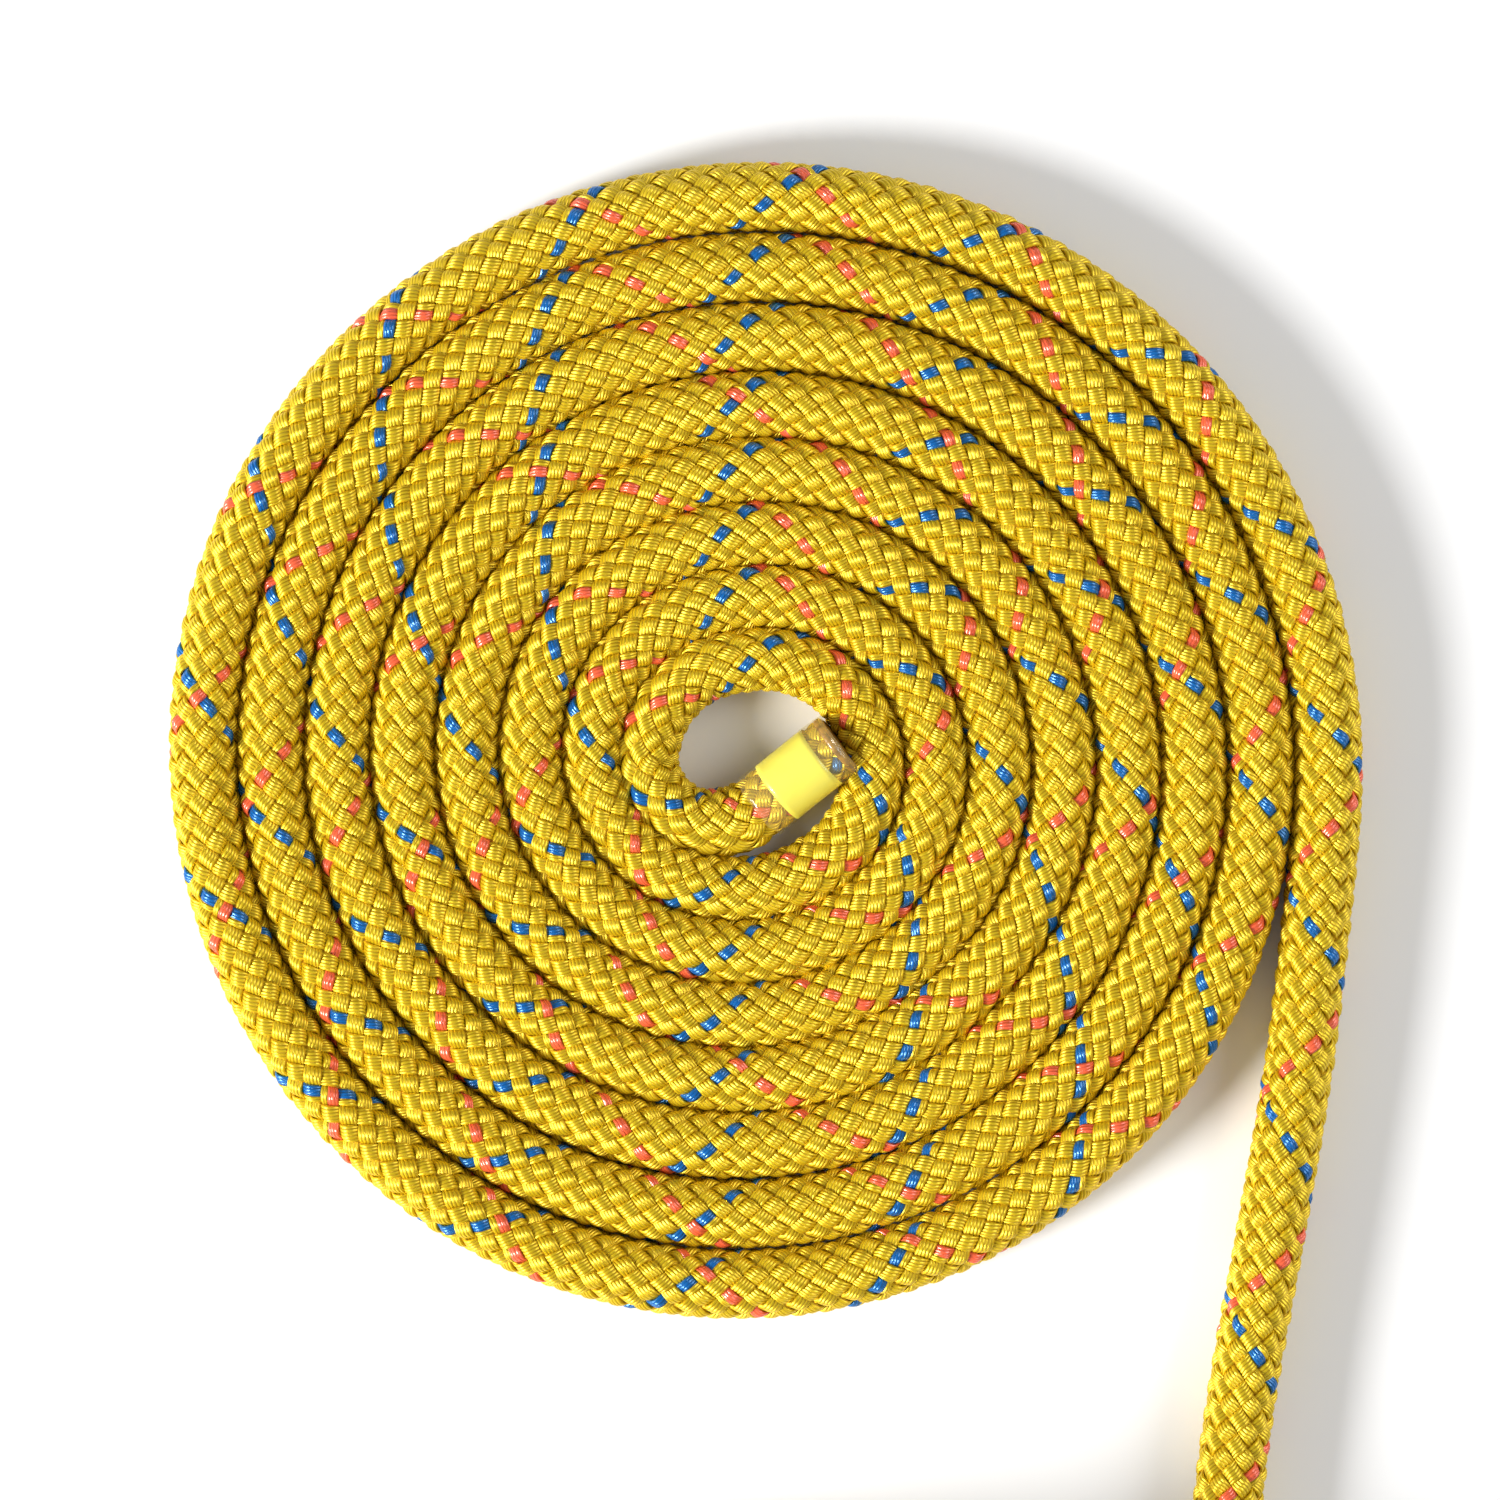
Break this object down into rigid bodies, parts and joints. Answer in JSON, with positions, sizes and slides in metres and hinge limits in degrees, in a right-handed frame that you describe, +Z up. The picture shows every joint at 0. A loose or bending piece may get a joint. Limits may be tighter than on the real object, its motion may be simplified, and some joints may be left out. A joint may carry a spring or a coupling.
{
  "type": "dynamic climbing rope",
  "caption": "Dynamic kernmantle climbing rope laid as a flat spiral, its free run leading to a strapped storage coil, both ends sleeved and fused.",
  "frame": {"origin": "middle of the whole layout's footprint, on the surface that the rope lies on", "axes": "+Z up from the surface; +Y from the storage coil towards the flat spiral; +X to the side where the free run lies"},
  "size_m": [0.2216, 0.415, 0.0407],
  "materials": {
    "rope_sheath": "yellow braided nylon with one blue and one coral tracer yarn",
    "rope_core": "undyed twisted nylon strands",
    "identification_tape": "thin plastic tape",
    "fused_nylon": "melted and set nylon",
    "label_band": "smooth pale yellow film, no print",
    "clear_sleeve": "clear shrunk film",
    "storage_strap": "black hook-and-loop webbing"
  },
  "bodies": {
    "root": {"flat_coil": "rope_sheath", "free_run": "rope_sheath", "inner_end_clear_sleeve": "clear_sleeve", "inner_end_core_strand_01": "rope_core", "inner_end_core_strand_02": "rope_core", "inner_end_core_strand_03": "rope_core", "inner_end_core_strand_04": "rope_core", "inner_end_core_strand_05": "rope_core", "inner_end_core_strand_06": "rope_core", "inner_end_core_strand_07": "rope_core", "inner_end_core_strand_08": "rope_core", "inner_end_core_strand_09": "rope_core", "inner_end_core_strand_10": "rope_core", "inner_end_core_strand_11": "rope_core", "inner_end_core_strand_12": "rope_core", "inner_end_fused_tip": "fused_nylon", "inner_end_identification_tape": "identification_tape", "inner_end_label": "label_band", "inner_end_sheath": "rope_sheath", "outer_end_clear_sleeve": "clear_sleeve", "outer_end_core_strand_01": "rope_core", "outer_end_core_strand_02": "rope_core", "outer_end_core_strand_03": "rope_core", "outer_end_core_strand_04": "rope_core", "outer_end_core_strand_05": "rope_core", "outer_end_core_strand_06": "rope_core", "outer_end_core_strand_07": "rope_core", "outer_end_core_strand_08": "rope_core", "outer_end_core_strand_09": "rope_core", "outer_end_core_strand_10": "rope_core", "outer_end_core_strand_11": "rope_core", "outer_end_core_strand_12": "rope_core", "outer_end_fused_tip": "fused_nylon", "outer_end_identification_tape": "identification_tape", "outer_end_label": "label_band", "outer_end_sheath": "rope_sheath", "storage_strap_left": "storage_strap", "storage_strap_right": "storage_strap", "stored_coil": "rope_sheath"}
  },
  "joints": []
}
